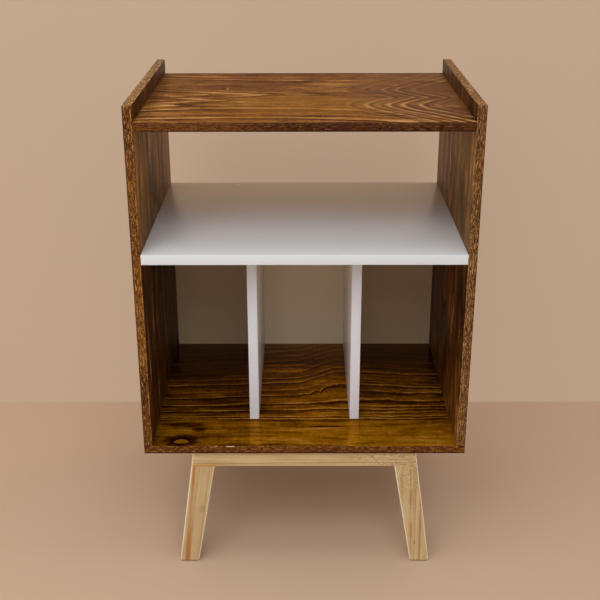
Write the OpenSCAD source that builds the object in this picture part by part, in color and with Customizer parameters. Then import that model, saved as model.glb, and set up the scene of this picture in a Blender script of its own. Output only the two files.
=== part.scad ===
// Record storage stand: a stained plywood cabinet with white inner boards on a pine base.
// The origin is on the floor under the middle of the stand, and the front faces -Y.

/* [Cabinet] */
// Width of the cabinet over its side panels
cabinet_w = 600; // [540:10:720]
// Depth of the cabinet's boards, without the back panel
cabinet_d = 457; // [400:1:520]
// Thickness of the stained plywood boards
plywood_t = 16; // [15:1:20]
// Thickness of the white faced boards
white_t = 18; // [16:1:22]
// Clear height of the record bays
bay_h = 361; // [330:1:420]
// Clear height of the open compartment over the shelf
compartment_h = 216; // [120:2:300]
// How far the side panels stand above the top panel
lip_h = 28; // [10:1:60]
// How far the dividers stand behind the cabinet's front
divider_setback = 105; // [20:5:160]
// Thickness of the white edge bands
edge_band_t = 1; // [0.4:0.2:2]

/* [Back panel] */
// Thickness of the back panel, which lies on the boards' rear edges
back_t = 3; // [2.5:0.5:5]
// How far the back panel's edges lie inside the outer faces of the boards behind it
back_margin = 2; // [1:0.5:4]

/* [Base] */
// Height of the base, from the floor to the cabinet
base_h = 250; // [180:2:320]
// Height of the rails
rail_h = 34; // [32:1:50]
// Thickness of the timber of the front and rear frames
frame_t = 34; // [30:1:45]
// Width of the two side rails
side_rail_w = 34; // [30:1:45]
// How far the frames stand inside the cabinet's front and rear
frame_setback = 9; // [4:1:30]
// Width over the two feet of a frame
foot_span = 490; // [460:2:540]
// Width of a leg at its foot
foot_w = 38; // [32:1:44]
// Width of a leg at its top
leg_top_w = 45; // [44:1:56]
// Lean of a leg's outer face, in degrees
leg_lean = 8; // [4:0.5:12]

/* [Rounded edges] */
// Radius along the legs and under the rails
edge_r = 4; // [2:0.5:6]
// Radius of a foot's inner corner
foot_inner_r = 5; // [2:0.5:8]
// Radius of a foot's outer corner
foot_outer_r = 2; // [1:0.5:6]
// Radius of the fillet where a leg meets its rail
leg_fillet_r = 4; // [2:0.5:8]

/* [Felt pads] */
// Thickness of a pad
pad_t = 3; // [2:0.5:5]
// How far a pad lies inside the edges of its foot
pad_inset = 3; // [2:0.5:6]
// Corner radius of a pad
pad_corner_r = 4; // [2:0.5:6]

/* [Dowels] */
// Diameter of a dowel
dowel_d = 8; // [6:1:8]
// Gap round a dowel in its hole
dowel_gap = 0.05; // [0.02:0.01:0.1]
// Empty length at each end of a dowel hole
dowel_end_gap = 1; // [0.5:0.25:2]
// Chamfer at each end of a dowel
dowel_chamfer = 0.8; // [0.4:0.2:1.2]
// Length of a cabinet dowel in the face of a board
dowel_in_face = 10; // [8:1:12]
// Length of a cabinet dowel in the end of a board
dowel_in_end = 20; // [16:1:24]
// Length of a base dowel in the face of a rail
base_dowel_in_face = 15; // [12:1:18]
// Length of a base dowel in the end of a leg or side rail
base_dowel_in_end = 25; // [18:1:30]
// Number of dowels along each end of the sides, the top and the shelf
side_dowel_count = 4; // [3:1:5]
// Number of dowels along each end of a divider
divider_dowel_count = 3; // [2:1:4]
// Distance from an end of a joint to its first dowel
dowel_end_margin = 45; // [30:5:60]
// Distance between the two dowels of a leg
leg_dowel_pitch = 22; // [20:1:26]
// Distance between the two dowels of a side rail's end
side_rail_dowel_pitch = 16; // [12:1:18]

/* [Base screws] */
// Diameter of a base screw
base_screw_d = 4.5; // [3.5:0.5:5]
// Length of a base screw
base_screw_l = 45; // [43:1:46]
// Diameter of a base screw's countersunk head
base_head_d = 9; // [7:0.5:10]
// Height of a base screw's countersunk head
base_head_h = 2.6; // [2:0.2:3.6]
// Distance from the middle to a base screw in the front and rear rails
rail_screw_x = 100; // [60:5:130]
// Distance from the middle to a base screw in the side rails
side_rail_screw_y = 80; // [40:5:120]

/* [Back panel screws] */
// Diameter of a back panel screw
back_screw_d = 3; // [2.5:0.5:3.5]
// Length of a back panel screw
back_screw_l = 16; // [12:1:20]
// Diameter of a back panel screw's countersunk head
back_head_d = 6; // [5:0.2:6.6]
// Height of a back panel screw's countersunk head
back_head_h = 1.6; // [1.2:0.2:2]
// Distance from the ends of a record bay to its first and last back panel screws
back_screw_margin = 60; // [40:5:90]
// Number of screws up each side and each divider
back_screw_rows = 3; // [2:1:4]

/* [Hidden] */
// Gap round a screw in its hole
screw_gap = 0.05;
// Depth of a screw head's cross recess
cross_depth = 1;
// Width of a screw head's cross recess
cross_w = 0.8;
// Length of a screw's point
point_l = 4;
// Length that a cut runs past the face it opens
past = 1;
// Steps in the arcs of a leg's outline
arc_steps = 8;
$fn = 64;

// Plan
front_y = -(cabinet_d + back_t) / 2;
board_rear_y = front_y + cabinet_d;
back_y = board_rear_y + back_t;
inner_w = cabinet_w - 2 * plywood_t;
bay_w = (inner_w - 2 * white_t) / 3;
divider_x = (bay_w + white_t) / 2;
divider_front_y = front_y + divider_setback;

// Heights
floor_top_z = base_h + plywood_t;
shelf_z = floor_top_z + bay_h;
shelf_top_z = shelf_z + white_t;
top_panel_z = shelf_top_z + compartment_h;
top_face_z = top_panel_z + plywood_t;
side_top_z = top_face_z + lip_h;

// Base
rail_z = base_h - rail_h;
leg_h = rail_z - pad_t;
frame_y = back_y - frame_setback - frame_t / 2;
foot_outer_x = foot_span / 2;
foot_inner_x = foot_outer_x - foot_w;
leg_top_outer_x = foot_outer_x - leg_h * tan(leg_lean);
leg_top_inner_x = leg_top_outer_x - leg_top_w;
rail_top_outer_x = leg_top_outer_x - rail_h * tan(leg_lean);
inner_lean = atan((foot_inner_x - leg_top_inner_x) / leg_h);
leg_top_x = (leg_top_outer_x + leg_top_inner_x) / 2;
side_rail_l = 2 * (frame_y - frame_t / 2);

// Places of fasteners
side_x = (inner_w + plywood_t) / 2;
side_dowel_ys = spread(front_y + dowel_end_margin, board_rear_y - dowel_end_margin, side_dowel_count);
divider_dowel_ys = spread(divider_front_y + dowel_end_margin, board_rear_y - dowel_end_margin,
                          divider_dowel_count);
back_screw_zs = spread(floor_top_z + back_screw_margin, shelf_z - back_screw_margin, back_screw_rows);

// Evenly spaced values from one place to another
function spread(from, to, count) = [for (i = [0 : count - 1]) from + (to - from) * i / (count - 1)];

// Points of an arc in a plane, between two angles
function arc(centre, radius, from, to) =
    [for (a = spread(from, to, arc_steps + 1)) centre + radius * [cos(a), sin(a)]];

// Centre of the arc that rounds a corner, whose edges leave it at two angles
function corner_centre(corner, radius, first, second) =
    corner + radius / sin((second - first) / 2)
    * [cos((first + second) / 2), sin((first + second) / 2)];

module mirrored_if(condition, direction) {
    if (condition) mirror(direction) children();
    else children();
}

module on_both_faces() {
    children();
    mirror([0, 1, 0]) children();
}

// ---- Places of the fasteners: each puts local +Z into the end of a board ----

module at_bottom_dowels() {
    for (side = [-1, 1], y = side_dowel_ys)
        translate([side * side_x, y, floor_top_z]) children();
}

module at_side_faces(z) {
    for (side = [-1, 1], y = side_dowel_ys)
        translate([side * inner_w / 2, y, z]) rotate([0, -side * 90, 0]) children();
}

module at_top_dowels() {
    at_side_faces(top_panel_z + plywood_t / 2) children();
}

module at_shelf_dowels() {
    at_side_faces(shelf_z + white_t / 2) children();
}

module at_divider_dowels() {
    for (side = [-1, 1], y = divider_dowel_ys) {
        translate([side * divider_x, y, floor_top_z]) children();
        translate([side * divider_x, y, shelf_z]) rotate([180, 0, 0]) children();
    }
}

module at_leg_dowels() {
    for (side = [-1, 1], end = [-1, 1], step = [-1, 1])
        translate([side * leg_top_x + step * leg_dowel_pitch / 2, end * frame_y, rail_z])
            rotate([180, 0, 0]) children();
}

module at_side_rail_dowels() {
    for (side = [-1, 1], end = [-1, 1], step = [-1, 1])
        translate([side * leg_top_x, end * side_rail_l / 2,
                   rail_z + rail_h / 2 + step * side_rail_dowel_pitch / 2])
            rotate([end * 90, 0, 0]) children();
}

// Base screws stand on the underside of the rails
module at_base_screws() {
    for (side = [-1, 1], end = [-1, 1]) {
        translate([side * rail_screw_x, end * frame_y, rail_z]) children();
        translate([side * leg_top_x, end * side_rail_screw_y, rail_z]) children();
    }
}

// Back panel screws stand on the panel's rear face, pointing forwards
module at_back_screws() {
    for (x = [-side_x, -divider_x, divider_x, side_x], z = back_screw_zs)
        translate([x, back_y, z]) rotate([90, 0, 0]) children();
    for (x = [-2 * divider_x, 0, 2 * divider_x], z = [base_h + plywood_t / 2, shelf_z + white_t / 2])
        translate([x, back_y, z]) rotate([90, 0, 0]) children();
}

// ---- Fasteners ----

// A dowel that reaches down into a face and up into an end
module dowel(in_face, in_end) {
    r = dowel_d / 2;
    rotate_extrude()
        polygon([
            [0, -in_face], [r - dowel_chamfer, -in_face], [r, dowel_chamfer - in_face],
            [r, in_end - dowel_chamfer], [r - dowel_chamfer, in_end], [0, in_end]
        ]);
}

module dowel_hole(in_face, in_end) {
    translate([0, 0, -in_face - dowel_end_gap])
        cylinder(h = in_face + in_end + 2 * dowel_end_gap, r = dowel_d / 2 + dowel_gap);
}

module cabinet_dowel() {
    dowel(dowel_in_face, dowel_in_end);
}

module cabinet_dowel_hole() {
    dowel_hole(dowel_in_face, dowel_in_end);
}

module base_dowel() {
    dowel(base_dowel_in_face, base_dowel_in_end);
}

module base_dowel_hole() {
    dowel_hole(base_dowel_in_face, base_dowel_in_end);
}

// The cross in a screw's head, opening downwards at z = 0
module cross_recess(width) {
    for (turn = [0, 90])
        rotate([0, 0, turn])
            translate([-width / 2, -cross_w / 2, -past]) cube([width, cross_w, cross_depth + past]);
}

// A countersunk screw, its head at z = 0 and its point up
module screw(shank_d, length, head_d, head_h) {
    difference() {
        rotate_extrude()
            polygon([
                [0, 0], [head_d / 2, 0], [shank_d / 2, head_h],
                [shank_d / 2, length - point_l], [0, length]
            ]);
        cross_recess(head_d / 2);
    }
}

module screw_hole(shank_d, length, head_d, head_h) {
    hole_r = shank_d / 2 + screw_gap;
    sink_r = head_d / 2 + screw_gap;
    rotate_extrude()
        polygon([
            [0, -past], [sink_r, -past], [sink_r, 0], [hole_r, head_h],
            [hole_r, length + past], [0, length + past]
        ]);
}

module base_screw() {
    screw(base_screw_d, base_screw_l, base_head_d, base_head_h);
}

module base_screw_hole() {
    screw_hole(base_screw_d, base_screw_l, base_head_d, base_head_h);
}

module back_screw() {
    screw(back_screw_d, back_screw_l, back_head_d, back_head_h);
}

module back_screw_hole() {
    screw_hole(back_screw_d, back_screw_l, back_head_d, back_head_h);
}

// ---- Cabinet ----

// The right-hand side panel, which stands on the bottom panel
module side_board() {
    translate([inner_w / 2, front_y, floor_top_z])
        cube([plywood_t, cabinet_d, side_top_z - floor_top_z]);
}

module side_panel(side) {
    color("saddlebrown")
        difference() {
            mirrored_if(side < 0, [1, 0, 0]) side_board();
            at_bottom_dowels() cabinet_dowel_hole();
            at_top_dowels() cabinet_dowel_hole();
            at_shelf_dowels() cabinet_dowel_hole();
            at_back_screws() back_screw_hole();
        }
}

module top_panel() {
    color("sienna")
        difference() {
            translate([-inner_w / 2, front_y, top_panel_z]) cube([inner_w, cabinet_d, plywood_t]);
            at_top_dowels() cabinet_dowel_hole();
        }
}

module bottom_panel() {
    color("sienna")
        difference() {
            translate([-cabinet_w / 2, front_y, base_h]) cube([cabinet_w, cabinet_d, plywood_t]);
            at_bottom_dowels() cabinet_dowel_hole();
            at_divider_dowels() cabinet_dowel_hole();
            at_base_screws() base_screw_hole();
            at_back_screws() back_screw_hole();
        }
}

module middle_shelf() {
    color("white")
        difference() {
            translate([-inner_w / 2, front_y + edge_band_t, shelf_z])
                cube([inner_w, cabinet_d - edge_band_t, white_t]);
            at_shelf_dowels() cabinet_dowel_hole();
            at_divider_dowels() cabinet_dowel_hole();
            at_back_screws() back_screw_hole();
        }
}

module shelf_edge_band() {
    color("whitesmoke")
        translate([-inner_w / 2, front_y, shelf_z]) cube([inner_w, edge_band_t, white_t]);
}

module divider(side) {
    board_front_y = divider_front_y + edge_band_t;
    color("white")
        difference() {
            translate([side * divider_x - white_t / 2, board_front_y, floor_top_z])
                cube([white_t, board_rear_y - board_front_y, bay_h]);
            at_divider_dowels() cabinet_dowel_hole();
            at_back_screws() back_screw_hole();
        }
}

module divider_edge_band(side) {
    color("whitesmoke")
        translate([side * divider_x - white_t / 2, divider_front_y, floor_top_z])
            cube([white_t, edge_band_t, bay_h]);
}

module back_panel() {
    back_z = base_h + back_margin;
    color("gainsboro")
        difference() {
            translate([back_margin - cabinet_w / 2, board_rear_y, back_z])
                cube([cabinet_w - 2 * back_margin, back_t, shelf_top_z - back_margin - back_z]);
            at_back_screws() back_screw_hole();
        }
}

module back_panel_screws() {
    color("silver") at_back_screws() back_screw();
}

// ---- Base ----

// Rounds a square edge that runs along +Z, with the wood at +X and +Y of it
module edge_cutter(length) {
    difference() {
        translate([-past, -past, -past]) cube([edge_r + past, edge_r + past, length + 2 * past]);
        translate([edge_r, edge_r, -2 * past]) cylinder(h = length + 4 * past, r = edge_r);
    }
}

// Cutters along the outer edges of a frame's right-hand leg and rail end
module outer_edge_cutters() {
    on_both_faces()
        translate([foot_outer_x, -frame_t / 2, pad_t])
            rotate([0, -leg_lean, 0])
                mirror([1, 0, 0]) edge_cutter((base_h - pad_t) / cos(leg_lean));
}

// Cutters along the inner edges of a right-hand leg
module inner_edge_cutters() {
    on_both_faces()
        translate([foot_inner_x, -frame_t / 2, pad_t])
            rotate([0, -inner_lean, 0]) edge_cutter(leg_h / cos(inner_lean));
}

// Cutters along the lower edges of a rail, between its legs
module under_rail_cutters() {
    span = 2 * (leg_top_inner_x - leg_fillet_r);
    on_both_faces()
        translate([span / 2 + past, -frame_t / 2, rail_z])
            rotate([0, -90, 0]) edge_cutter(span);
}

// Front view of a right-hand leg: it tapers to its foot and flares into a fillet at its top
module leg_outline() {
    outer_angle = 90 + leg_lean;
    inner_angle = 90 + inner_lean;
    foot_inner = [foot_inner_x, pad_t];
    foot_outer = [foot_outer_x, pad_t];
    top_inner = [leg_top_inner_x, rail_z];
    inner_centre = corner_centre(foot_inner, foot_inner_r, 0, inner_angle);
    outer_centre = corner_centre(foot_outer, foot_outer_r, outer_angle, 180);
    fillet_centre = corner_centre(top_inner, leg_fillet_r, 180, 270 + inner_lean);
    polygon(concat(
        arc(inner_centre, foot_inner_r, inner_angle + 90, 270),
        arc(outer_centre, foot_outer_r, -90, outer_angle - 90),
        [[leg_top_outer_x, rail_z]],
        arc(fillet_centre, leg_fillet_r, 90, inner_lean)
    ));
}

module leg(side, end) {
    color("burlywood")
        difference() {
            translate([0, end * frame_y, 0])
                mirrored_if(side < 0, [1, 0, 0])
                    difference() {
                        rotate([90, 0, 0])
                            linear_extrude(height = frame_t, center = true) leg_outline();
                        outer_edge_cutters();
                        inner_edge_cutters();
                    }
            at_leg_dowels() base_dowel_hole();
        }
}

// A rail over the two legs of a frame, its ends cut to the legs' lean
module frame_rail(end) {
    color("tan")
        difference() {
            translate([0, end * frame_y, 0])
                difference() {
                    rotate([90, 0, 0])
                        linear_extrude(height = frame_t, center = true)
                            polygon([
                                [-leg_top_outer_x, rail_z], [leg_top_outer_x, rail_z],
                                [rail_top_outer_x, base_h], [-rail_top_outer_x, base_h]
                            ]);
                    outer_edge_cutters();
                    mirror([1, 0, 0]) outer_edge_cutters();
                    under_rail_cutters();
                }
            at_leg_dowels() base_dowel_hole();
            at_side_rail_dowels() base_dowel_hole();
            at_base_screws() base_screw_hole();
        }
}

// A rail from the front frame to the rear frame, over the legs of one side
module side_rail(side) {
    color("wheat")
        difference() {
            translate([side * leg_top_x - side_rail_w / 2, -side_rail_l / 2, rail_z])
                cube([side_rail_w, side_rail_l, rail_h]);
            at_side_rail_dowels() base_dowel_hole();
            at_base_screws() base_screw_hole();
        }
}

// A flat pad with round corners, centred on its foot
module felt_pad() {
    w = foot_w - 2 * pad_inset;
    d = frame_t - 2 * pad_inset;
    linear_extrude(height = pad_t) {
        square([w - 2 * pad_corner_r, d], center = true);
        square([w, d - 2 * pad_corner_r], center = true);
        for (x = [-1, 1], y = [-1, 1])
            translate([x * (w / 2 - pad_corner_r), y * (d / 2 - pad_corner_r)])
                circle(r = pad_corner_r);
    }
}

module felt_pads() {
    color("peru")
        for (side = [-1, 1], end = [-1, 1])
            translate([side * (foot_outer_x + foot_inner_x) / 2, end * frame_y, 0]) felt_pad();
}

// ---- Fastener groups ----

module bottom_dowels() {
    color("navajowhite") at_bottom_dowels() cabinet_dowel();
}

module top_dowels() {
    color("navajowhite") at_top_dowels() cabinet_dowel();
}

module shelf_dowels() {
    color("navajowhite") at_shelf_dowels() cabinet_dowel();
}

module divider_dowels() {
    color("navajowhite") at_divider_dowels() cabinet_dowel();
}

module leg_dowels() {
    color("navajowhite") at_leg_dowels() base_dowel();
}

module side_rail_dowels() {
    color("navajowhite") at_side_rail_dowels() base_dowel();
}

module base_screws() {
    color("silver") at_base_screws() base_screw();
}

side_panel(-1);  // side_panel_left
side_panel(1);  // side_panel_right
top_panel();
bottom_panel();
middle_shelf();
shelf_edge_band();
divider(-1);  // divider_left
divider(1);  // divider_right
divider_edge_band(-1);  // divider_left_edge_band
divider_edge_band(1);  // divider_right_edge_band
back_panel();
back_panel_screws();
frame_rail(-1);  // front_rail
frame_rail(1);  // rear_rail
side_rail(-1);  // side_rail_left
side_rail(1);  // side_rail_right
leg(-1, -1);  // leg_front_left
leg(1, -1);  // leg_front_right
leg(-1, 1);  // leg_rear_left
leg(1, 1);  // leg_rear_right
felt_pads();
bottom_dowels();
top_dowels();
shelf_dowels();
divider_dowels();
leg_dowels();
side_rail_dowels();
base_screws();
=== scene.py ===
import math

import bmesh
import bpy
from mathutils import Matrix, Vector, noise


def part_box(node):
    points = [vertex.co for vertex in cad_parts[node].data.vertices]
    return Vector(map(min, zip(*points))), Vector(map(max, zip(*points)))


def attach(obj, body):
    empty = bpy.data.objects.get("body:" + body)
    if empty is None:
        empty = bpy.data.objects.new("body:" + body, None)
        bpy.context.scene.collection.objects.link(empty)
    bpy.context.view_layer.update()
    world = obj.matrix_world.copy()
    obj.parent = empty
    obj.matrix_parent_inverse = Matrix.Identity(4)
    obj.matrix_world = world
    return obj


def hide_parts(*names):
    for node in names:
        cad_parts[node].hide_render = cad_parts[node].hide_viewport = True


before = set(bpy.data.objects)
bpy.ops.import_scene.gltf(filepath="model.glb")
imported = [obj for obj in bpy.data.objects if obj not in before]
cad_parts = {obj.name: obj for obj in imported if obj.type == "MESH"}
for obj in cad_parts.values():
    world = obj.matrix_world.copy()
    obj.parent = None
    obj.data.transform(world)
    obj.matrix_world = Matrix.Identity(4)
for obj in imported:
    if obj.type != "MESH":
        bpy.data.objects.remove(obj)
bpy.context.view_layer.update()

# ---- Sizes in metres, read from the frame ----

X, Y, Z = range(3)                      # axes
LEFT_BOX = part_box("side_panel_left")
RIGHT_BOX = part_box("side_panel_right")
TOP_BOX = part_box("top_panel")
BOTTOM_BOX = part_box("bottom_panel")
RAIL_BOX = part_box("front_rail")
PLY = TOP_BOX[1].z - TOP_BOX[0].z       # thickness of a stained board
INNER_X = RIGHT_BOX[0].x                # of the sides' inner faces
INNER_TOP = TOP_BOX[1].z                # height of the top panel's upper face
DIVIDER_X = sum(corner.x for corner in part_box("divider_right")) / 2
RAIL_MID_Y = (RAIL_BOX[0].y + RAIL_BOX[1].y) / 2
RAIL_MID_Z = (RAIL_BOX[0].z + RAIL_BOX[1].z) / 2


# ---- Node graphs ----
# Numbers that a place is multiplied with inside noise() are lumps in a metre.

def linear(red, green, blue):
    """A colour written as display values, 0 to 255, as the linear colour that a shader takes."""
    def channel(value):
        value = value / 255
        return value / 12.92 if value <= 0.04045 else ((value + 0.055) / 1.055) ** 2.4
    return channel(red), channel(green), channel(blue), 1.0


HALVES = (0.0, 0.5, 1.0)        # places of a ramp's three stops


def palette(places, *colours):
    """Stops of a colour ramp, from colours written as display values."""
    return [(place, linear(*colour)) for place, colour in zip(places, colours)]


class Value:
    """A socket of a graph, with arithmetic."""

    def __init__(self, graph, socket):
        self.graph = graph
        self.socket = socket

    def __add__(self, other):
        return self.graph.math("ADD", self, other)

    __radd__ = __add__

    def __sub__(self, other):
        return self.graph.math("SUBTRACT", self, other)

    def __rsub__(self, other):
        return self.graph.math("SUBTRACT", other, self)

    def __mul__(self, other):
        return self.graph.math("MULTIPLY", self, other)

    __rmul__ = __mul__

    def __truediv__(self, other):
        return self.graph.math("DIVIDE", self, other)


class Graph:
    """The nodes of a material or world, added by calls that return the new output."""

    def __init__(self, owner):
        self.owner = owner
        owner.use_nodes = True
        self.tree = owner.node_tree
        self.tree.nodes.clear()

    def node(self, kind, inputs=None, **settings):
        made = self.tree.nodes.new("ShaderNode" + kind)
        for key, value in settings.items():
            setattr(made, key, value)
        for key, value in (inputs or {}).items():
            self.plug(made.inputs[key], value)
        return made

    def output(self, kind, which=0, inputs=None, **settings):
        """The output of that number or name of a new node."""
        return Value(self, self.node(kind, inputs, **settings).outputs[which])

    def plug(self, socket, value):
        if isinstance(value, Value):
            self.tree.links.new(value.socket, socket)
        else:
            socket.default_value = value

    def math(self, operation, *values):
        return self.output("Math", 0, dict(enumerate(values)), operation=operation)

    def absolute(self, value):
        return self.math("ABSOLUTE", value)

    def hypotenuse(self, first, second):
        return self.math("SQRT", first * first + second * second)

    def parts(self, vector):
        split = self.node("SeparateXYZ", {0: vector})
        return [Value(self, split.outputs[i]) for i in range(3)]

    def position(self):
        """The place on the object, in the frame's metres."""
        return self.parts(self.output("TexCoord", "Object"))

    def normal(self):
        return self.parts(self.output("NewGeometry", "Normal"))

    def vector(self, x, y, z):
        return self.output("CombineXYZ", 0, {0: x, 1: y, 2: z})

    def noise(self, x, y, z, detail=3, roughness=0.5, distortion=0.0):
        """Smooth noise round 0, mostly within -1 to 1, of a point whose unit is one lump."""
        inputs = {"Vector": self.vector(x, y, z), "Scale": 1.0, "Detail": detail, "Roughness": roughness,
                  "Distortion": distortion}
        return (self.output("TexNoise", 0, inputs) - 0.5) * 3.0

    def cells(self, x, y, z, which="Distance"):
        return self.output("TexVoronoi", which, {"Vector": self.vector(x, y, z), "Scale": 1.0})

    def step(self, value, low, high):
        """0 below low, 1 above high, smooth between; it falls where high is the smaller."""
        if high < low:
            return 1.0 - self.step(value, high, low)
        return self.output("MapRange", 0, {0: value, 1: low, 2: high}, interpolation_type="SMOOTHSTEP")

    def clamp(self, value):
        return self.output("Clamp", 0, {0: value})

    def ramp(self, value, stops, low=0.0, high=1.0):
        """Colours or greys at places between low and high."""
        made = self.node("ValToRGB")
        curve = made.color_ramp
        for index, (place, colour) in enumerate(stops):
            share = (place - low) / (high - low)
            stop = curve.elements[index] if index < 2 else curve.elements.new(share)
            stop.position = share
            stop.color = colour if isinstance(colour, tuple) else (colour, colour, colour, 1.0)
        if (low, high) != (0.0, 1.0):
            value = (value - low) / (high - low)
        self.plug(made.inputs[0], value)
        return Value(self, made.outputs[0])

    def mix(self, share, first, second, blend="MIX"):
        """Two colours, where a share of 0 gives the first."""
        return self.output("Mix", 2, {0: share, 6: first, 7: second}, data_type="RGBA", blend_type=blend)

    def mix_number(self, share, first, second):
        return self.output("Mix", 0, {0: share, 2: first, 3: second}, data_type="FLOAT")

    def tint(self, colour, by):
        return self.mix(1.0, colour, by, blend="MULTIPLY")

    def bump(self, height, distance):
        """A normal from a height of 0 to 1, where 1 stands that far out."""
        return self.output("Bump", 0, {"Height": height, "Distance": distance, "Strength": 1.0})

    def principled(self, **inputs):
        """A Principled shader; an argument's underscores stand for spaces."""
        named = {key.replace("_", " ").title().replace("Ior", "IOR"): value for key, value in inputs.items()}
        return self.output("BsdfPrincipled", 0, named)

    def end(self, shader):
        """Ends the graph in a shader, and returns its material or world."""
        kind = "OutputWorld" if isinstance(self.owner, bpy.types.World) else "OutputMaterial"
        self.node(kind, {"Surface": shader})
        return self.owner

    def surface(self, **inputs):
        return self.end(self.principled(**inputs))


def new_material(name):
    return Graph(bpy.data.materials.new(name))


# ---- Stained pine plywood ----
# l runs along the grain, t across it on the face, n through the board. Tones run from 0, dark, to 1.

STAIN_STOPS = (0.0, 0.28, 0.50, 0.74, 1.0)
TOP_TONES = palette(STAIN_STOPS, (44, 21, 10), (84, 46, 17), (118, 72, 27), (150, 100, 46), (190, 142, 84))
BOTTOM_TONES = palette(STAIN_STOPS, (38, 11, 1), (86, 44, 1), (136, 83, 3), (184, 121, 16), (228, 166, 78))
SIDE_TONES = palette(STAIN_STOPS, (30, 13, 3), (62, 32, 9), (96, 56, 19), (130, 82, 36), (172, 120, 68))
EDGE_TONES = palette((0.0, 0.30, 0.52, 0.75, 1.0),
                     (34, 15, 5), (86, 46, 16), (136, 86, 40), (176, 120, 62), (214, 162, 100))
AMBER = linear(150, 92, 6)
OXBLOOD = linear(92, 40, 22)
PORE = linear(30, 15, 6)
BARE_WOOD = linear(214, 190, 156)
GOLDEN = linear(156, 108, 34)
DUSKY = linear(118, 82, 62)
OLIVE = linear(124, 95, 46)
BAY_REAR_SHADE = (0.24, 0.20, 0.20, 1.0)     # painted shade: what is left of a colour at the rear of the bays
OPEN_LIGHT_GAIN = (2.2, 2.6, 3.6, 1.0)    # painted light: of the inner sides' colour above the shelf, over that below

# Roughness, and the shader's constants
VARNISH = (1.0, 0.66, 0.30, 1.0)
MATT = (0.62, dict(specular_ior_level=0.12, specular_tint=VARNISH))
SATIN = (0.50, dict(specular_ior_level=0.15, specular_tint=VARNISH))
GLOSS = (0.17, dict(specular_ior_level=0.07, specular_tint=VARNISH, metallic=0.44))

RAMP_LINES = 6          # growth lines that one colour ramp holds
LINE_MARGIN = 0.04      # of a ramp, beyond its first and last line


def ring_lines(g, ring, lines, rise, drop, fade):
    """Tone across growth rings, 0 between them. Each of lines is a place and a strength.

    A line climbs to a light edge, drops to a dark one and fades."""
    total = 0.0
    for first in range(0, len(lines), RAMP_LINES):
        some = lines[first:first + RAMP_LINES]
        low = some[0][0] - LINE_MARGIN
        high = some[-1][0] + LINE_MARGIN
        ends = [place - rise for place, strength in some[1:]] + [high]
        stops = [(low, 0.5)]
        for (place, strength), end in zip(some, ends):
            reach = 0.5 * strength
            faded = min(place + drop + fade, end - 0.0002)
            stops += [(place - rise, 0.5), (place, 0.5 + reach), (place + drop, 0.5 - reach),
                      (faded, 0.5 - 0.15 * reach)]
        stops.append((high, 0.5))
        total = total + (g.ramp(ring, stops, low, high) - 0.5)
    return total


def wavering(g, ring, seed, spacing):
    """Tone across evenly grown rings whose width wanders: gradual on one side, sharp on the other."""
    wander = g.noise(ring * 14.0, seed, 0.0, detail=2) * 1.3
    phase = ring * (1.0 / spacing) + wander
    part = g.math("FRACT", phase)
    whole = g.math("FLOOR", phase)
    vary = g.noise(whole * 0.73, seed, 3.1, detail=0) * 0.5 + 0.8
    light = g.step(part, 0.55, 0.93)
    dark = g.step(part, 0.30, 0.0)
    return (light - dark) * 0.5 * vary


def bent(g, l, t, seed):
    """The place across the grain after a slow drift, a ripple and a fine jag."""
    drift = g.noise(l * 2.2, t * 5.0, seed, detail=2) * 0.014
    ripple = g.noise(l * 16.0, t * 26.0, seed + 4.0, detail=2) * 0.0032
    jag = g.noise(l * 62.0, t * 120.0, seed + 8.0, roughness=0.65) * 0.0019
    return t + drift + ripple + jag


def clouded(g, colour, l, t, seed, red_share):
    """Amber and red clouds in the stain."""
    amber = g.step(g.noise(l * 3.0, t * 9.0, seed + 7.0), -0.1, 0.7)
    colour = g.mix(amber * 0.35, colour, g.mix(0.6, colour, AMBER))
    red = g.step(g.noise(l * 5.0, t * 13.0, seed + 12.0), 0.10, 0.8)
    return g.mix(red * red_share, colour, OXBLOOD)


def stained(name, along, across, seed, rings, tones, finish, contrast, wild, marks=None, hues=None,
            red_share=0.40, broad_share=0.0, base=0.5):
    """The face of a stained board, whose grain runs along one axis and across another.

    rings is a function that gives its growth rings; marks changes its tone and hues its colour."""
    g = new_material(name)
    place = g.position()
    l, t = place[along], place[across]
    t_bent = bent(g, l, t, seed)
    breaks = g.noise(l * 11.0, t * 34.0, seed + 9.0, detail=2) * 0.5 + 0.85
    ring = rings(g, l, t, t_bent) * breaks
    fibre = g.noise(l * 12.0, t_bent * 420.0, seed + 1.0, roughness=0.6)
    streak = g.noise(l * 9.0, t_bent * 95.0, seed + 2.0, detail=4, roughness=0.62)
    flame = g.noise(l * 14.0, t_bent * 36.0, seed + 5.0, detail=5, roughness=0.66)
    blotch = g.noise(l * 4.5, t * 11.0, seed + 3.0)
    broad = g.noise(l * 5.0, t_bent * 32.0, seed + 13.0, roughness=0.6)
    mottle = g.noise(l * 110.0, t * 48.0 + l * 21.0, seed + 14.0, detail=4, roughness=0.72,
                     distortion=0.8)
    uneven = (streak * 0.16 + fibre * 0.10 + flame * 0.16 + blotch * 0.10 + broad * broad_share
              + mottle * 0.08)
    tone = base + ring * contrast + uneven * wild
    if marks:
        tone = marks(g, tone, place, t_bent)
    colour = clouded(g, g.ramp(tone, tones), l, t, seed, red_share)
    if hues:
        colour = hues(g, colour, place)
    pore = g.step(g.noise(l * 45.0, t_bent * 900.0, seed + 6.0, detail=1), 0.55, 0.95)
    colour = g.mix(pore * 0.45, colour, PORE)
    relief = ring * 0.5 + fibre * 0.16 + flame * 0.12 + 0.5 - pore * 0.4
    matt, shine = finish
    rough = g.clamp(matt - ring * 0.12 + fibre * 0.03 + blotch * 0.04)
    return g.surface(base_color=colour, roughness=rough, normal=g.bump(relief, 0.00035), **shine)


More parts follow.
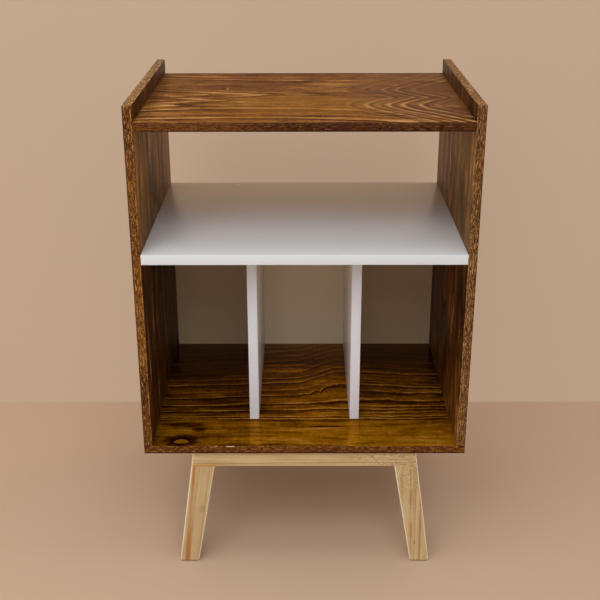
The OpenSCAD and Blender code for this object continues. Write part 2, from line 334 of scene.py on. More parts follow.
def even_rings(spacing, seed, tilt):
    """Rings of a board cut far from the log's heart, as nearly straight lines."""
    def rings(g, l, t, t_bent):
        return wavering(g, t_bent + l * tilt, seed, spacing)
    return rings


def arched_rings(centre, start, end, depth, spacing, seed):
    """Rings of a board that nears the log's heart from start to end, as nested arches."""
    def rings(g, l, t, t_bent):
        deep = (1.0 - g.step(l, start, end)) * depth
        return wavering(g, g.hypotenuse(t_bent - centre, deep), seed, spacing)
    return rings


def spot(g, x, y, at, wide, deep):
    """1 inside an oval of those half sizes round a place, 0 from a little outside it."""
    across = (x - at[0]) * (1.0 / wide)
    along = (y - at[1]) * (1.0 / deep)
    return g.step(across * across + along * along, 1.5, 0.45)


def spotted(g, tone, x, y, spots):
    """A tone with spots, each a middle, two half sizes and the change that it makes."""
    for at, wide, deep, change in spots:
        tone = tone + spot(g, x, y, at, wide, deep) * change
    return tone


# The top panel: long lines and flames that point right, then two nests of arches that point left
ARCH_HEARTS = (-0.097, 0.050)       # the nests' middles across the grain
ARCH_TIP = 0.024                    # radius of their tips
ARCH_LINES = [(0.076, 0.45), (0.1105, 0.85), (0.130, 0.30), (0.1495, 1.0), (0.1747, 1.2), (0.207, 1.1),
              (0.236, 0.35)]
FLAMES = ((-0.059, 0.004, 4.2), (-0.137, -0.050, 4.0), (-0.215, -0.096, 3.6))   # tip, axis, length to width
FLAME_TIP = 0.005
FLAME_LINES = [(-0.100, 0.45), (0.0, 1.2), (0.090, 0.45)]
REAR_LINES = [(-0.192, 0.7), (-0.165, 1.1)]
FRONT_LINES = [(0.090, 0.4), (0.117, 1.1), (0.160, 0.5), (0.190, 1.0)]
TOP_SPOTS = [
    ((0.240, 0.128), 0.026, 0.012, -0.34),      # resin, rear right and right
    ((0.246, -0.022), 0.018, 0.013, -0.30),
    ((-0.120, 0.015), 0.065, 0.022, 0.11),      # pale along the flames
    ((-0.20, -0.045), 0.060, 0.018, 0.08),
    ((0.245, -0.105), 0.034, 0.026, 0.16),      # pale, front right
    ((0.062, 0.104), 0.060, 0.0065, 0.18),      # a pale dash and a dark one at the rear
    ((0.006, 0.134), 0.016, 0.010, -0.22),
    ((-0.235, -0.157), 0.045, 0.007, 0.14),     # a pale dash, front left
    ((-0.145, 0.062), 0.0030, 0.0090, 0.50),    # a light fleck
    ((0.190, 0.03), 0.080, 0.100, -0.07),       # broad shades
    ((-0.272, 0.03), 0.014, 0.110, -0.13),
    ((0.02, -0.09), 0.120, 0.045, 0.02),
]


def top_flames(g, l, t, t_bent):
    """Nested flames, from the one that reaches furthest."""
    inside = -1.0
    ragged = g.noise(l * 40.0, t * 90.0, 3.0, roughness=0.62) * 0.012
    for tip, axis, slope in FLAMES:
        reach = (tip - l) - g.hypotenuse(t_bent - axis, FLAME_TIP) * slope
        inside = g.math("MAXIMUM", reach, inside)
    flames = ring_lines(g, (inside + ragged) * -1.0, FLAME_LINES, rise=0.040, drop=0.030, fade=0.02)
    return flames * g.step(t, -0.115, -0.095) * g.step(t, 0.13, 0.08)


def top_rings(g, l, t, t_bent):
    arms = [g.hypotenuse(t_bent - heart, ARCH_TIP) - ARCH_TIP for heart in ARCH_HEARTS]
    into = l - g.math("SMOOTH_MIN", arms[0], arms[1], 0.012)
    arches = ring_lines(g, into, ARCH_LINES, rise=0.0075, drop=0.0070, fade=0.008)
    arches = arches * (g.step(t, 0.02, -0.03) * 0.55 + 0.45)
    rear_place = (t_bent + (l + 0.275) * 0.08) * -1.0
    rear = ring_lines(g, rear_place, REAR_LINES, rise=0.010, drop=0.009, fade=0.008)
    from_middle = l + 0.10
    front_place = (t_bent + from_middle * from_middle * 0.55) * -1.0
    front = ring_lines(g, front_place, FRONT_LINES, rise=0.012, drop=0.008, fade=0.010)
    left = top_flames(g, l, t, t_bent) + rear * g.step(l, 0.03, -0.03) + front
    field = g.noise(l * 5.0, t * 10.0, 2.0, detail=4, roughness=0.62) * 0.050 - t_bent
    left = left + wavering(g, field, 4.0, 0.044) * 0.4
    return g.mix_number(g.step(into, 0.055, 0.085), left, arches * 1.4)


def top_marks(g, tone, place, t_bent):
    """Dark resinous spots and pale patches, painted shade along the rear arris, and the paler front strip."""
    x, y, z = place
    tone = spotted(g, tone, x, t_bent + (y - t_bent) * 0.3, TOP_SPOTS)
    patchy = g.step(g.noise(x * 9.0, 0.0, 6.0), -0.5, 0.3)
    # painted shade along the rear arris, in patches
    return tone - g.step(y, 0.214, 0.223) * patchy * 0.32 + g.step(y, -0.207, -0.217) * 0.17


def top_hues(g, colour, place):
    """Golden in the middle of the front, dusky towards the right-hand end."""
    x, y, z = place
    colour = g.mix(spot(g, x, y, (0.01, -0.08), 0.17, 0.075) * 0.28, colour, GOLDEN)
    return g.mix(spot(g, x, y, (0.22, 0.03), 0.14, 0.24) * 0.32, colour, DUSKY)


# The bottom panel: wavy lines, wide apart, that part round a knot near the front left corner
KNOT = Vector((-0.233, -0.211))
KNOT_R = 0.0105
KNOT_RING_R = 0.024
BOTTOM_LINES = [(-0.199, 1.0), (-0.172, 1.2), (-0.146, 0.9), (-0.121, 1.1), (-0.098, 0.8), (-0.071, 0.6),
                (-0.041, 0.9), (-0.021, 1.1), (0.010, 0.4), (0.031, 1.0), (0.064, 1.1), (0.089, 0.9),
                (0.1165, 1.0), (0.126, 0.8)]
RIGHT_LINES = [(-0.118, 0.4), (-0.070, 0.5), (-0.006, 0.4), (0.020, 0.5), (0.047, 0.7), (0.078, 0.8),
               (0.102, 0.7)]
BOTTOM_SPOTS = [
    ((-0.228, -0.150), 0.036, 0.0085, -0.36),   # the dark island behind the knot
    ((-0.203, -0.168), 0.014, 0.0085, -0.32),
    ((0.041, -0.1545), 0.033, 0.0030, -0.60),   # a dark streak and a pale one before it
    ((0.03, -0.170), 0.060, 0.010, 0.16),
    ((0.150, -0.160), 0.050, 0.012, 0.13),      # pale, front right
    ((0.14, -0.17), 0.30, 0.080, 0.13),         # broad shades
    ((0.09, -0.03), 0.20, 0.080, 0.07),
    ((-0.150, 0.0), 0.14, 0.100, -0.07),
]
BAY_REAR_SHADE_SPOTS = [
    ((0.0, 0.22), 0.50, 0.110, 0.60),           # painted shade at the rear, then in its corners
    ((-0.22, 0.16), 0.13, 0.120, 0.90),
    ((0.22, 0.18), 0.13, 0.100, 0.76),
]


def knot_distance(g, x, y, wide, deep):
    """Distance from the knot, where wide and deep stretch it along X and Y."""
    return g.hypotenuse((x - KNOT.x) / wide, (y - KNOT.y) / deep)


def bottom_rings(g, l, t, t_bent):
    bulge = g.math("EXPONENT", knot_distance(g, l, t, 0.060, 0.055) * -1.6) * 0.030
    tilt = (l + 0.28) * g.step(t, -0.10, 0.05) * g.step(l, 0.30, 0.02) * 0.05
    rise = g.step(l, -0.02, 0.075) * (0.004 + g.step(t, -0.08, 0.045) * 0.042)
    teeth = g.noise(l * 52.0, t * 10.0, 5.0, detail=2) * 0.010 * spot(g, l, t, (0.035, 0.0), 0.060, 0.034)
    churn = g.noise(l * 52.0, t * 40.0, 6.0) * 0.0026 * g.step(l, 0.10, 0.18)
    ring = tilt + bulge + rise + churn + teeth - t_bent
    wide_apart = ring_lines(g, ring, BOTTOM_LINES, rise=0.0026, drop=0.0030, fade=0.008)
    between = ring_lines(g, ring, RIGHT_LINES, rise=0.0026, drop=0.0030, fade=0.007)
    return wide_apart + between * g.step(l, 0.09, 0.16)


def bottom_marks(g, tone, place, t_bent):
    """A knot with its dark ring, a dark island behind it, and streaks along the front."""
    x, y, z = place
    tone = spotted(g, tone, x, t_bent + (y - t_bent) * 0.4, BOTTOM_SPOTS)
    wobble = g.noise(x * 62.0, y * 62.0, 2.0, roughness=0.6) * 0.62
    distance = knot_distance(g, x, y, 1.15, 0.90) + wobble * KNOT_R
    lobes = g.noise(x * 38.0, y * 38.0, 8.0, detail=2) * 0.55 + 0.80
    tone = tone - g.step(distance, KNOT_RING_R * 1.45, KNOT_R * 1.1) * lobes * 0.55
    heart = 0.60 + g.noise(x * 160.0, y * 160.0, 3.0) * 0.12
    return g.mix_number(g.step(distance, KNOT_R * 1.15, KNOT_R * 0.85), tone, heart)


def bottom_hues(g, colour, place):
    """Painted shade along the rear and in its corners."""
    x, y, z = place
    for at, wide, deep, share in BAY_REAR_SHADE_SPOTS:
        colour = g.mix(spot(g, x, y, at, wide, deep) * share, colour, g.tint(colour, BAY_REAR_SHADE))
    return colour


# The sides: their inner faces carry painted shade below the shelf and painted light in the open compartment
SHELF_FADE = (0.58, 0.66)       # heights between which the one turns into the other


def inner_face(g, x):
    """1 on the sides' inner faces, 0 on the outer ones."""
    return g.step(g.absolute(x), INNER_X + 0.004, INNER_X + 0.002)


def below_top(g, z):
    """1 below the top panel's upper face, 0 on the lips above it."""
    return g.step(z, INNER_TOP + 0.001, INNER_TOP - 0.001)


def side_marks(g, tone, place, t_bent):
    """Inside, the sides are darker on the lips over the top panel, with painted shade below the shelf and a
    painted shadow round the shelf's height.
    """
    x, y, z = place
    inside = inner_face(g, x)
    above_shelf = g.step(z, *SHELF_FADE)
    to_right = g.step(x, -0.1, 0.1)
    shadow = spot(g, y, z, (-0.06, 0.62), 0.24, 0.140) * 0.24
    calmer = (tone - 0.5) * (inside * ((1.0 - above_shelf) * 0.6 + 0.55) + 0.55) + 0.5
    # painted shade below the shelf, lighter on the right-hand side
    low = to_right * 0.15 - 0.25
    open_part = below_top(g, z) * 0.22 - 0.12 - to_right * 0.03
    return calmer + (low + above_shelf * (open_part - low - 0.06) - shadow) * inside


def side_hues(g, colour, place):
    """Painted light: paler and more olive inside, above the shelf."""
    x, y, z = place
    between = g.step(z, *SHELF_FADE) * below_top(g, z)
    paler = g.mix(0.25, g.tint(colour, OPEN_LIGHT_GAIN), OLIVE)
    return g.mix(inner_face(g, x) * between, colour, paler)


def stained_side(name, seed, rings):
    return stained(name, Z, Y, seed, rings, SIDE_TONES, SATIN, contrast=0.35, wild=2.0,
                   marks=side_marks, hues=side_hues, red_share=0.22, broad_share=0.20)


top_face = stained("stained_top", X, Y, 11.0, top_rings, TOP_TONES, MATT, contrast=0.95, wild=2.0,
                   marks=top_marks, hues=top_hues, base=0.45)
bottom_face = stained("stained_bottom", X, Y, 23.0, bottom_rings, BOTTOM_TONES, GLOSS, contrast=1.08,
                      wild=1.9, marks=bottom_marks, hues=bottom_hues, red_share=0.36)
under_face = stained("stained_under", X, Y, 37.0, even_rings(0.034, 5.0, tilt=0.03), SIDE_TONES, SATIN,
                     contrast=0.55, wild=1.0)
left_face = stained_side("stained_side_left", 41.0,
                         arched_rings(-0.02, start=0.95, end=0.35, depth=0.11, spacing=0.030, seed=8.0))
right_face = stained_side("stained_side_right", 59.0,
                          arched_rings(0.03, start=0.30, end=0.90, depth=0.12, spacing=0.028, seed=15.0))


PLIES = 7       # layers in that thickness


def ply_edge(name, along, through, start, seed, tint, coarse_share=0.26, ply_share=0.08, shifts=(),
             borders=(0.0, 0.0), border_end=0.13, chips=()):
    """The cut edge of a stained board: thin plies, speckled dark end grain, streaked paler long grain.

    The plies are counted from start. Each of shifts is a tone change, whole beyond a first place and fading
    out by a second; borders are changes along the edge's two long borders; chips show bare wood."""
    g = new_material(name)
    place = g.position()
    l, depth = place[along], place[through]
    n = depth - start
    other = place[X + Y + Z - along - through]
    waver = g.noise(l * 40.0, other * 40.0, seed, detail=2) * 0.0004
    layer = (n + waver) * (PLIES / PLY)
    odd = g.math("PINGPONG", layer, 1.0)
    end_grain = g.step(odd, 0.35, 0.65)
    speckle = g.noise(l * 480.0, depth * 560.0, seed + 2.0, detail=4, roughness=0.75)
    streak = g.noise(l * 90.0, depth * 600.0, seed + 3.0, roughness=0.6)
    coarse = g.noise(l * 230.0, depth * 380.0, seed + 4.0, roughness=0.65)
    patch = g.noise(l * 11.0, depth * 50.0, seed + 5.0)
    glue = g.step(g.absolute(odd - 0.5), 0.10, 0.0)
    grain = end_grain * speckle + (1.0 - end_grain) * streak
    arris = g.step(g.absolute(n - PLY / 2), PLY * 0.36, PLY * 0.47)
    nibbled = g.noise(l * 420.0, other * 420.0, seed + 11.0, detail=2)
    tone = (0.50 + grain * 1.50 + coarse * coarse_share + patch * 0.13 - end_grain * ply_share - glue * 0.14
            + arris * nibbled * 0.32)
    for first, last, change in shifts:
        tone = tone + g.step(l, last, first) * change
    for none, whole, change in ((border_end, 0.05, borders[0]), (0.87, 0.95, borders[1])):
        tone = tone + g.step(n, PLY * none, PLY * whole) * (0.8 + nibbled * 0.5) * change
    colour = g.ramp(tone, EDGE_TONES)
    hue = g.step(g.noise(l * 7.0, depth * 30.0, seed + 9.0, detail=2), -0.4, 0.6)
    colour = g.mix(hue * 0.30, colour, g.mix(0.7, colour, AMBER))
    colour = g.tint(colour, (*tint, 1.0))
    for at, reach in chips:
        ragged = g.absolute(l - at) + nibbled * 0.0012
        bare = g.step(ragged, reach, reach - 0.0012) * g.step(n, PLY - 0.0022, PLY - 0.0012)
        colour = g.mix(bare * 0.8, colour, BARE_WOOD)
    relief = speckle * 0.25 + coarse * 0.25 + 0.5 - glue * 0.2
    rough = g.clamp(0.55 + speckle * 0.05)
    return g.surface(base_color=colour, roughness=rough, normal=g.bump(relief, 0.0004),
                     specular_ior_level=0.15)


left_edge = ply_edge("stained_left_edge", Z, X, LEFT_BOX[0].x, 3.0, tint=(0.82, 0.78, 0.52),
                     coarse_share=0.14, shifts=((0.42, 0.45, -0.12), (0.64, 0.58, -0.10)),
                     borders=(-0.40, 0.20))
left_top_edge = ply_edge("stained_left_top_edge", Y, X, LEFT_BOX[0].x, 6.0, tint=(1.16, 1.42, 2.0))
# the right front edge's tint, greyer and darker than the left one's, is painted shade
right_edge = ply_edge("stained_right_edge", Z, X, RIGHT_BOX[0].x, 17.0, tint=(0.75, 0.84, 0.98),
                      coarse_share=0.06, shifts=((0.84, 0.78, -0.07),), borders=(0.28, -0.40))
right_top_edge = ply_edge("stained_right_top_edge", Y, X, RIGHT_BOX[0].x, 19.0, tint=(0.92, 1.06, 1.42))
top_edge = ply_edge("stained_top_edge", X, Z, TOP_BOX[0].z, 9.0, tint=(0.31, 0.21, 0.075), ply_share=0.16,
                    shifts=((-0.14, -0.04, 0.30),), borders=(-0.30, -0.20))
bottom_edge = ply_edge("stained_bottom_edge", X, Z, BOTTOM_BOX[0].z, 12.0, tint=(0.62, 0.49, 0.20),
                       ply_share=0.12, borders=(-0.34, 0.10), border_end=0.34,
                       chips=((-0.165, 0.0025), (-0.1385, 0.0085)))
bottom_end = ply_edge("stained_bottom_end", Y, Z, BOTTOM_BOX[0].z, 14.0, tint=(0.6, 0.55, 0.45),
                      coarse_share=0.40, ply_share=0.10)


# ---- White boards ----

WARM_REAR_SHADE = (0.98, 0.90, 0.80, 1.0)     # warm painted shade: what is left of white towards the shelf's rear
OUTER_BAY_SHADE = (0.74, 0.63, 0.53, 1.0)     # painted shade: what the outer bays leave of the back's white
GREYER = linear(205, 196, 186)
SPECK = linear(150, 140, 130)


def white_board(name, shade, rough, orange_peel, shaded_outer_bays=False, shaded_rear=False):
    """The back can carry painted shade in the outer bays, and the shelf a warm painted shade towards the
    rear.
    """
    g = new_material(name)
    x, y, z = g.position()
    cloud = g.noise(x * 6.0, y * 6.0, z * 6.0)
    speck = g.step(g.noise(x * 900.0, y * 900.0, z * 900.0, detail=1), 0.95, 1.15)
    colour = g.mix(g.clamp(cloud * 0.3 + 0.5), shade, g.mix(0.12, shade, GREYER))
    colour = g.mix(speck * 0.25, colour, SPECK)
    if shaded_outer_bays:
        # painted shade in the outer bays
        outer = g.step(g.absolute(x), DIVIDER_X - PLY * 0.4, DIVIDER_X + PLY * 0.4)
        colour = g.mix(outer, colour, g.tint(colour, OUTER_BAY_SHADE))
    if shaded_rear:
        # warm painted shade towards the rear
        colour = g.mix(g.step(y, -0.05, 0.18), colour, g.tint(colour, WARM_REAR_SHADE))
    scuff = g.step(g.noise(x * 25.0, y * 90.0, z * 25.0, detail=4, roughness=0.65), 0.35, 0.9)
    peel = g.noise(x * 420.0, y * 420.0, z * 420.0, detail=2) * 0.3 + 0.5
    return g.surface(base_color=colour, roughness=g.clamp(rough + scuff * 0.08 + cloud * 0.02),
                     normal=g.bump(peel, orange_peel), specular_ior_level=0.5)


melamine = white_board("white_melamine", linear(243, 242, 241), rough=0.24, orange_peel=0.00003)
shelf_melamine = white_board("white_shelf_melamine", linear(232, 230, 229), rough=0.24,
                             orange_peel=0.00003, shaded_rear=True)
band = white_board("white_edge_band", linear(227, 230, 236), rough=0.22, orange_peel=0.00002)
back_white = white_board("white_back", linear(246, 226, 193), rough=0.42, orange_peel=0.00005, shaded_outer_bays=True)


def chipboard():
    g = new_material("chipboard_edge")
    x, y, z = g.position()
    flake = g.cells(x * 330.0, y * 330.0, z * 620.0, which="Color")
    fine = g.noise(x * 700.0, y * 700.0, z * 900.0)
    tone = g.clamp(g.output("SeparateColor", 0, {0: flake}) * 0.6 + fine * 0.15 + 0.2)
    colour = g.ramp(tone, palette(HALVES, (112, 84, 56), (176, 144, 106), (214, 188, 150)))
    return g.surface(base_color=colour, roughness=0.85, normal=g.bump(tone, 0.0003))


SCREEN_PITCH = 0.0018       # of the screen that a hardboard sheet was pressed on


def hardboard_rear():
    """The rear of a hardboard sheet, with the print of its screen."""
    g = new_material("hardboard_rear")
    x, y, z = g.position()
    turns = 2 * math.pi / SCREEN_PITCH
    warp = g.noise(x * 60.0, 0.0, z * 60.0, detail=2) * 0.25
    weave = g.math("SINE", x * turns + warp) * g.math("SINE", z * turns + warp)
    fluff = g.noise(x * 260.0, y, z * 260.0, detail=4, roughness=0.7)
    cloud = g.noise(x * 9.0, y, z * 9.0)
    fibre = g.step(g.noise(x * 900.0, y, z * 160.0, detail=2, distortion=1.5), 0.6, 1.0)
    tone = g.clamp(0.5 + fluff * 0.22 + cloud * 0.16 + weave * 0.08 + fibre * 0.20)
    colour = g.ramp(tone, palette(HALVES, (84, 56, 35), (136, 99, 67), (184, 148, 108)))
    relief = g.clamp(weave * 0.25 + fluff * 0.10 + 0.5)
    return g.surface(base_color=colour, roughness=0.8, normal=g.bump(relief, 0.0003))


raw_edge = chipboard()
back_brown = hardboard_rear()


# ---- Natural pine ----
# l, t and n are measured from near the middle of a piece, along its grain, across it and in depth.

PINE_RING = 0.008               # width of a year's growth
PINE_HEART = (-0.018, 0.046)    # t and n of the log's heart
PINE_TONES = palette((0.0, 0.30, 0.55, 0.80, 1.0),
                     (140, 102, 58), (176, 142, 92), (206, 176, 128), (224, 198, 154), (236, 216, 180))
RESIN = linear(182, 114, 44)
GOLD = linear(198, 142, 54)
BARK = linear(126, 86, 46)
ROSE = linear(206, 160, 124)
# paler rounded arrises: partly sanded wood, partly a painted highlight
SANDED_AND_HIGHLIGHT = linear(255, 238, 214)
OLIVE_PINE = linear(178, 152, 98)
DASH = linear(150, 100, 56)
FLECK = linear(104, 66, 34)


def pine(name, turn, origin, seed, marks=(), flecks=0.0, spacing=PINE_RING):
    """Pine whose grain runs along local X after a turn that takes the frame to the piece.

    Each of marks is a function that gives a share, and the colour it mixes in. Rounded arrises are paler:
    partly sanded wood, partly a painted highlight."""
    g = new_material(name)
    moved = g.output("VectorMath", 0, {0: g.output("TexCoord", "Object"), 1: origin}, operation="SUBTRACT")
    l, t, n = g.parts(g.output("VectorRotate", 0, {"Vector": moved, "Rotation": turn},
                               rotation_type="EULER_XYZ", invert=True))
    drift = g.noise(l * 4.0, t * 22.0, n * 22.0 + seed, detail=2) * 0.0022
    heart_t, heart_n = PINE_HEART
    ring = g.hypotenuse(t + drift - heart_t, n + drift * 0.7 - heart_n) + l * 0.006
    phase = ring * (1.0 / spacing) + g.noise(ring * 90.0, seed, 0.0, detail=2) * 0.9
    part = g.math("FRACT", phase)
    vary = g.noise(g.math("FLOOR", phase) * 0.73, seed, 3.1, detail=0) * 0.6 + 0.8
    late = g.step(part, 0.70, 0.97) * g.step(part, 1.0, 0.97) * vary
    fibre = g.noise(l * 22.0, t * 900.0, n * 900.0 + seed, roughness=0.6)
    streak = g.noise(l * 7.0, t * 170.0, n * 170.0 + seed)
    blotch = g.noise(l * 12.0, t * 40.0, n * 40.0 + seed)
    olive = g.noise(l * 3.0, t * 70.0, n * 70.0 + seed + 7.0, detail=2)
    grit = g.noise(l * 170.0, t * 520.0, n * 520.0 + seed, roughness=0.65)
    tone = 0.58 - late * 0.27 + streak * 0.14 + fibre * 0.08 + blotch * 0.12 - olive * 0.06 + grit * 0.09
    colour = g.ramp(tone, PINE_TONES)
    colour = g.mix(g.step(olive, 0.0, 0.9) * 0.35, colour, OLIVE_PINE)
    for share, hue in marks:
        colour = g.mix(share(g, l, t, n), colour, hue)
    dash = g.step(g.noise(l * 70.0, t * 800.0, n * 800.0 + seed + 2.0, detail=1), 0.75, 1.05)
    colour = g.mix(dash * 0.35, colour, DASH)
    # paler rounded arrises: sanded wood and a painted highlight
    colour = g.mix(g.step(rounding(g), 0.02, 0.16) * 0.85, colour, SANDED_AND_HIGHLIGHT)
    if flecks:
        fleck = g.step(g.noise(l * 120.0, t * 280.0, n * 90.0 + seed + 5.0, detail=1), 0.84, 1.0)
        colour = g.mix(fleck * flecks, colour, FLECK)
    relief = 0.5 + late * 0.30 + fibre * 0.14 - dash * 0.2
    return g.surface(base_color=colour, roughness=g.clamp(0.52 - late * 0.10 + fibre * 0.03),
                     normal=g.bump(relief, 0.00022), coat_weight=0.18, coat_roughness=0.35)


def rounding(g):
    """0 where the surface faces along an axis, more on a rounded arris."""
    across, along, up = [g.absolute(part) for part in g.normal()]
    return 1.0 - g.math("MAXIMUM", g.math("MAXIMUM", across, along), up)


def fibres(g, l, t, n, sparse):
    """Short dark fibres; the more sparse, the fewer."""
    grains = g.noise(l * 190.0, t * 420.0, n * 420.0, roughness=0.65)
    return g.step(grains, sparse, sparse + 0.40)


def left_leg_resin(g, l, t, n):
    """The orange streak down the left side of the left leg."""
    middle = -0.0063 - (l + 0.12) * 0.048 + g.noise(l * 14.0, 0.0, 4.0, detail=2) * 0.0010
    half_width = 0.0058 - (l + 0.12) * 0.012
    streak = g.step(g.absolute(t - middle) / half_width, 1.0, 0.45)
    faint = g.step(g.absolute(l + 0.005), 0.030, 0.075) * 0.40 + 0.50
    return streak * faint


def left_leg_rose(g, l, t, n):
    """A pinkish smudge half way up the left leg, and pinkish fibres under the rail."""
    smudge = spot(g, l, t, (0.0, -0.006), 0.008, 0.0045) * 0.6
    return smudge + g.step(l, 0.070, 0.088) * fibres(g, l, t, n, 0.0) * 0.5


def left_leg_olive(g, l, t, n):
    """A ragged brown smudge half way up the left leg, and a little brown all over it."""
    smudge = spot(g, l, t, (0.003, 0.009), 0.009, 0.0060)
    return smudge * (fibres(g, l, t, n, -0.3) * 0.20 + 0.08) + 0.12


def right_leg_line(g, l, t):
    """Distance from the upright streak of the right leg."""
    return g.absolute(t + 0.0019 + l * 0.034 + g.noise(l * 40.0, 1.0, 4.0, detail=2) * 0.0008)


def right_leg_smudge(g, l, t, n):
    """Orange on both sides of the streak, low and high."""
    low = g.step(g.absolute(l + 0.047), 0.026, 0.008)
    high = g.step(g.absolute(l - 0.030), 0.024, 0.008) * 0.7
    return g.step(right_leg_line(g, l, t), 0.0062, 0.0008) * (low + high) * 0.55


def right_leg_bark(g, l, t, n):
    """The streak, a second one near the outer edge, small knots and dark fibres under the rail."""
    uneven = g.clamp(g.noise(l * 34.0, 0.0, 9.0, detail=2) * 0.5 + 0.65)
    streak = g.step(right_leg_line(g, l, t), 0.0019, 0.0005) * uneven * 0.55
    outer = g.absolute(t - 0.0166 + l * 0.018 + g.noise(l * 40.0, 6.0, 4.0, detail=2) * 0.0006)
    second = g.step(outer, 0.0015, 0.0004) * (g.step(g.absolute(l - 0.026), 0.024, 0.012) * 0.45 + 0.25)
    knot = spot(g, l, t, (-0.076, 0.0086), 0.0048, 0.0014) * 0.75
    low_knot = spot(g, l, t, (-0.110, 0.0285), 0.0024, 0.0013) * 0.5
    under_rail = g.step(l, -0.04, 0.085) * fibres(g, l, t, n, 0.0) * 0.55
    return g.clamp(streak + second + (knot + low_knot) + under_rail)


def rail_bark(g, l, t, n):
    """Short dark fibres at the right-hand end of the front rail."""
    here = g.step(l, 0.045, 0.110) * g.step(n + (l - 0.05) * 0.20, -0.002, 0.008)
    grains = g.noise(l * 130.0, t * 400.0, n * 460.0, roughness=0.65)
    return here * g.step(grains, 0.0, 0.40) * 0.70


def rail_resin(g, l, t, n):
    """The orange streak under the left end of the front rail."""
    low = g.step(n + g.noise(l * 30.0, 0.0, 2.0, detail=2) * 0.0010, -0.0110, -0.0140)
    here = g.step(l, -0.232, -0.220) * g.step(l, -0.132, -0.165)
    return low * here * 0.9


LEG_MID_X = 0.2068          # where a leg's grain is measured from
LEG_MID_Z = 0.12
SIDE_RAIL_X = 0.1926
LEAN = 8.9                  # degrees that a leg's grain leans; the front right leg's stands upright
RAIL_TURN = (0.0, 0.0, 0.0)
SIDE_RAIL_TURN = (0.0, 0.0, math.pi / 2)


def leg_turn(lean):
    """Rotation that takes local X up a leg's grain, which leans to the right, and local Y across it."""
    lean = math.radians(lean)
    up = Vector((math.sin(lean), 0.0, math.cos(lean)))
    out = Vector((math.cos(lean), 0.0, -math.sin(lean)))
    return Matrix((up, out, up.cross(out))).transposed().to_euler("XYZ")


# ---- Small parts ----

def beech():
    g = new_material("beech_dowel")
    x, y, z = g.position()
    fleck = g.noise(x * 900.0, y * 900.0, z * 260.0)
    tone = g.clamp(0.5 + fleck * 0.25)
    colour = g.ramp(tone, palette((0.0, 1.0), (176, 132, 88), (226, 192, 148)))
    return g.surface(base_color=colour, roughness=0.6, normal=g.bump(tone, 0.0001))


def zinc():
    g = new_material("zinc_steel")
    x, y, z = g.position()
    cloud = g.noise(x * 500.0, y * 500.0, z * 500.0)
    scratch = g.noise(x * 2500.0, y * 2500.0, z * 700.0, detail=2)
    colour = g.mix(g.clamp(cloud * 0.5 + 0.5), linear(206, 204, 196), linear(222, 208, 168))
    return g.surface(base_color=colour, metallic=1.0, roughness=g.clamp(0.30 + cloud * 0.08 + scratch * 0.04),
                     normal=g.bump(scratch * 0.3 + 0.5, 0.00003))


def felt():
    g = new_material("brown_felt")
    x, y, z = g.position()
    hair = g.noise(x * 900.0, y * 900.0, z * 900.0, detail=4, roughness=0.7, distortion=1.2)
    tuft = g.cells(x * 420.0, y * 420.0, z * 420.0)
    tone = g.clamp(0.5 + hair * 0.25 - tuft * 0.2)
    colour = g.ramp(tone, palette(HALVES, (34, 22, 15), (64, 42, 27), (104, 74, 50)))
    return g.surface(base_color=colour, roughness=0.95, sheen_weight=0.4, sheen_roughness=0.5,
                     normal=g.bump(tone, 0.0004))


dowel_wood = beech()
screw_metal = zinc()
pad_felt = felt()


# ---- Pieces ----

ARRIS = 0.0008          # sanded edge of a plywood board
WHITE_ARRIS = 0.0004    # edge of a white faced board
BAND_ARRIS = 0.0003     # edge of an edge band
CHIP = 0.0006           # deepest nick in a plywood arris
STATION = 0.005         # distance between the cuts that let an arris waver
WAVER_LUMPS = 60.0      # in a metre of arris
NICK_LUMPS = 190.0
LEVEL = 0.94            # a face whose normal has more than this along an axis faces that way
SHARP = math.radians(35.0)      # an edge that bends by more than this is shaded as sharp


def finish_piece(name, work, materials, choose, nodes):
    """Makes a piece of a bmesh: choose gives the number of each face's material."""
    for face in work.faces:
        face.material_index = choose(face)
        face.smooth = True
    for edge in work.edges:
        edge.smooth = len(edge.link_faces) == 2 and edge.calc_face_angle(math.pi) < SHARP
    mesh = bpy.data.meshes.new(name)
    work.to_mesh(mesh)
    work.free()
    for material in materials:
        mesh.materials.append(material)
    piece = bpy.data.objects.new(name, mesh)
    bpy.context.scene.collection.objects.link(piece)
    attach(piece, "root")
    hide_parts(*nodes)


def cut_stations(work, low, high, along):
    """Cuts a board across every few millimetres, and returns the direction of its length."""
    direction = Vector([float(i == along) for i in range(3)])
    size = high - low
    count = round(size[along] / STATION)
    for i in range(1, count):
        at = low.copy()
        at[along] += size[along] * i / count
        bmesh.ops.bisect_plane(work, geom=work.verts[:] + work.edges[:] + work.faces[:],
                               plane_co=at, plane_no=direction)
    return direction


def wear(work, low, high, arris, along, chip, seed):
    """Lets a board's long arrises waver and nicks them, always inwards."""
    direction = cut_stations(work, low, high, along)
    reach = arris * 1.6             # further from a face than any vertex of its arris
    for vertex in work.verts:
        inward = Vector([(vertex.co[i] - low[i] < reach) - (high[i] - vertex.co[i] < reach)
                         for i in range(3)])
        inward[along] = 0.0
        if inward.length < 1.2:     # near one face or none, so not on a long arris
            continue
        corner = Vector((seed + inward.x * 7.0, inward.y * 5.0, inward.z * 3.0))
        at = vertex.co[along]
        waver = 0.5 + 0.5 * noise.noise(corner + direction * at * WAVER_LUMPS)
        nicked = noise.noise(corner + direction * at * NICK_LUMPS + Vector((3.0, 9.0, 4.0)))
        nick = max(0.0, nicked - 0.35) * 1.5
        vertex.co += inward * chip * (0.25 * waver + nick)


